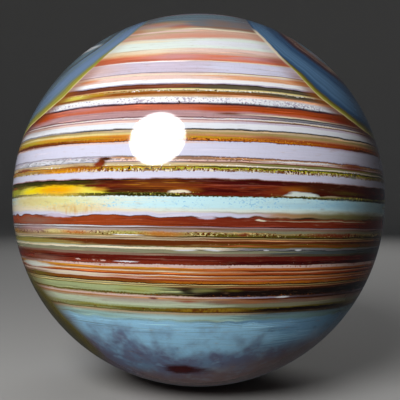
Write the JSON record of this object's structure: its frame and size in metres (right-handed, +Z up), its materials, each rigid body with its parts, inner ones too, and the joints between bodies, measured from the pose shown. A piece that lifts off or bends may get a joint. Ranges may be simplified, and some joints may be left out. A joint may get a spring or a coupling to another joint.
{
  "type": "banded agate sphere",
  "caption": "Polished ball of level-banded agate, one solid piece of stone that rests on a table or shelf on a small level spot.",
  "frame": {"origin": "on the surface that the ball stands on, straight under its centre, at the middle of its rest spot", "axes": "+Z up through the ball's centre, across its layers; -Y is the side that the picture shows; +X to the right of that view"},
  "size_m": [0.11, 0.11, 0.1098],
  "materials": {
    "polished_agate": "mirror-polished level-banded agate: rust, orange, cream, lavender and milk-white layers, blue-grey chalcedony at the shoulders and mottled pale blue quartz at the foot"
  },
  "bodies": {
    "root": {"agate_sphere": "polished_agate"}
  },
  "joints": []
}
